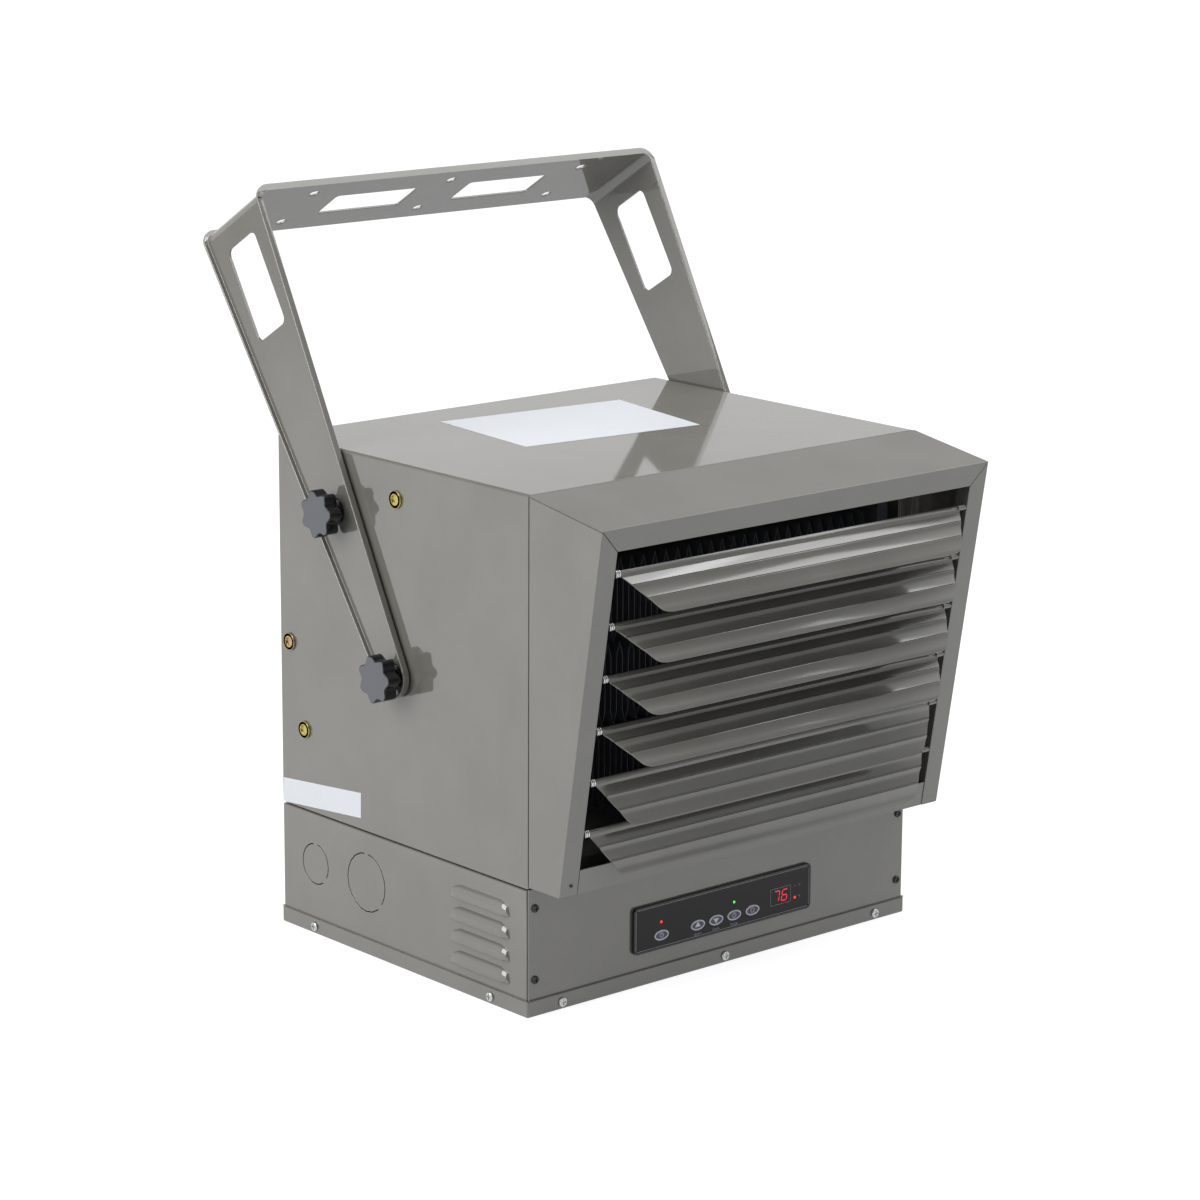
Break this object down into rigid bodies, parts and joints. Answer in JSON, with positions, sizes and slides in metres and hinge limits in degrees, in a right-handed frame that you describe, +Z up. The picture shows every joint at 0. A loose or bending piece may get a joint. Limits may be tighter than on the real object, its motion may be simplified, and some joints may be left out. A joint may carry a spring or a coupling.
{
  "type": "ceiling mounted fan heater",
  "caption": "Fan-forced electric heater: grey sheet-steel cabinet with louvered discharge hood, control panel below, and a tilting U-shaped yoke locked by star knobs.",
  "frame": {"origin": "middle of the underside of the base pan", "axes": "+Z up, -Y out of the louvered front, +X to the right seen from the front"},
  "size_m": [0.47, 0.5228, 0.6264],
  "materials": {
    "grey_paint": "gloss",
    "galvanised": "satin",
    "zinc": "satin",
    "yellow_zinc": "satin",
    "spring_steel": "bright",
    "black_plastic": "satin",
    "gloss_black": "gloss",
    "button_plastic": "satin",
    "black_element": "matte",
    "motor_black": "satin",
    "fan_aluminium": "satin",
    "board_green": "satin",
    "moulding": "matte",
    "lamination": "matte"
  },
  "bodies": {
    "cabinet": {"base_pan": "grey_paint", "control_box": "grey_paint", "front_cover": "grey_paint", "panel_bezel": "black_plastic", "panel_overlay": "gloss_black", "display_module": "gloss_black", "circuit_board": "board_green", "contactor_left": "moulding", "contactor_right": "moulding", "terminal_block": "moulding", "transformer": "lamination", "cabinet_shell": "grey_paint", "rear_panel": "grey_paint", "deck_plate": "galvanised", "insert_plate_left": "yellow_zinc", "insert_plate_right": "yellow_zinc", "fan_bulkhead": "galvanised", "motor_bracket": "zinc", "motor": "motor_black", "rear_guard": "black_element", "heating_element_lower": "black_element", "heating_element_middle": "black_element", "heating_element_upper": "black_element", "element_bracket_left": "galvanised", "element_bracket_right": "galvanised", "thermal_cutout": "black_plastic", "temperature_sensor": "black_plastic", "hood_top": "grey_paint", "hood_left": "grey_paint", "hood_right": "grey_paint", "hood_sill": "grey_paint", "louver_spring_1": "spring_steel", "louver_spring_2": "spring_steel", "louver_spring_3": "spring_steel", "louver_spring_4": "spring_steel", "louver_spring_5": "spring_steel", "louver_spring_6": "spring_steel"},
    "louver_1": {"louver_1": "grey_paint"},
    "louver_2": {"louver_2": "grey_paint"},
    "louver_3": {"louver_3": "grey_paint"},
    "louver_4": {"louver_4": "grey_paint"},
    "louver_5": {"louver_5": "grey_paint"},
    "louver_6": {"louver_6": "grey_paint"},
    "fan": {"fan": "fan_aluminium"},
    "button_power": {"button_power": "button_plastic"},
    "button_up": {"button_up": "button_plastic"},
    "button_down": {"button_down": "button_plastic"},
    "button_timer": {"button_timer": "button_plastic"},
    "button_unit": {"button_unit": "button_plastic"},
    "yoke": {"yoke": "grey_paint"},
    "pivot_knob_left": {"pivot_knob_left": "black_plastic"},
    "lock_knob_left": {"lock_knob_left": "black_plastic"},
    "pivot_knob_right": {"pivot_knob_right": "black_plastic"},
    "lock_knob_right": {"lock_knob_right": "black_plastic"}
  },
  "joints": [
    {"name": "yoke_tilt", "type": "hinge", "parent": "cabinet", "child": "yoke", "pos_m": [0, 0.003, 0.2478], "axis": [-1, 0, 0], "range_deg": [-31.25, 88.75]},
    {"name": "pivot_knob_left_turn", "type": "hinge", "parent": "cabinet", "child": "pivot_knob_left", "pos_m": [-0.225, 0.003, 0.2478], "axis": [-1, 0, 0], "range_deg": [0, 540]},
    {"name": "lock_knob_left_turn", "type": "hinge", "parent": "yoke", "child": "lock_knob_left", "pos_m": [-0.225, 0.07786, 0.37116], "axis": [-1, 0, 0], "range_deg": [0, 540]},
    {"name": "pivot_knob_right_turn", "type": "hinge", "parent": "cabinet", "child": "pivot_knob_right", "pos_m": [0.225, 0.003, 0.2478], "axis": [1, 0, 0], "range_deg": [0, 540]},
    {"name": "lock_knob_right_turn", "type": "hinge", "parent": "yoke", "child": "lock_knob_right", "pos_m": [0.225, 0.07786, 0.37116], "axis": [1, 0, 0], "range_deg": [0, 540]},
    {"name": "louver_1_tilt", "type": "hinge", "parent": "cabinet", "child": "louver_1", "pos_m": [0, -0.23811, 0.37105], "axis": [1, 0, 0], "range_deg": [-43, 42]},
    {"name": "louver_2_tilt", "type": "hinge", "parent": "cabinet", "child": "louver_2", "pos_m": [0, -0.23127, 0.32845], "axis": [1, 0, 0], "range_deg": [-39, 46]},
    {"name": "louver_3_tilt", "type": "hinge", "parent": "cabinet", "child": "louver_3", "pos_m": [0, -0.22443, 0.28584], "axis": [1, 0, 0], "range_deg": [-39, 46]},
    {"name": "louver_4_tilt", "type": "hinge", "parent": "cabinet", "child": "louver_4", "pos_m": [0, -0.21759, 0.24324], "axis": [1, 0, 0], "range_deg": [-39, 46]},
    {"name": "louver_5_tilt", "type": "hinge", "parent": "cabinet", "child": "louver_5", "pos_m": [0, -0.21075, 0.20063], "axis": [1, 0, 0], "range_deg": [-59, 26]},
    {"name": "louver_6_tilt", "type": "hinge", "parent": "cabinet", "child": "louver_6", "pos_m": [0, -0.20392, 0.15803], "axis": [1, 0, 0], "range_deg": [-63, 17]},
    {"name": "fan_spin", "type": "hinge", "parent": "cabinet", "child": "fan", "pos_m": [0, 0.06, 0.264], "axis": [0, 1, 0], "continuous": true},
    {"name": "button_power_press", "type": "slide", "parent": "cabinet", "child": "button_power", "axis": [0, 1, 0], "range_m": [0, 0.0008], "stiffness_N_per_m": 800, "springref_m": -0.0003},
    {"name": "button_up_press", "type": "slide", "parent": "cabinet", "child": "button_up", "axis": [0, 1, 0], "range_m": [0, 0.0008], "stiffness_N_per_m": 800, "springref_m": -0.0003},
    {"name": "button_down_press", "type": "slide", "parent": "cabinet", "child": "button_down", "axis": [0, 1, 0], "range_m": [0, 0.0008], "stiffness_N_per_m": 800, "springref_m": -0.0003},
    {"name": "button_timer_press", "type": "slide", "parent": "cabinet", "child": "button_timer", "axis": [0, 1, 0], "range_m": [0, 0.0008], "stiffness_N_per_m": 800, "springref_m": -0.0003},
    {"name": "button_unit_press", "type": "slide", "parent": "cabinet", "child": "button_unit", "axis": [0, 1, 0], "range_m": [0, 0.0008], "stiffness_N_per_m": 800, "springref_m": -0.0003}
  ]
}
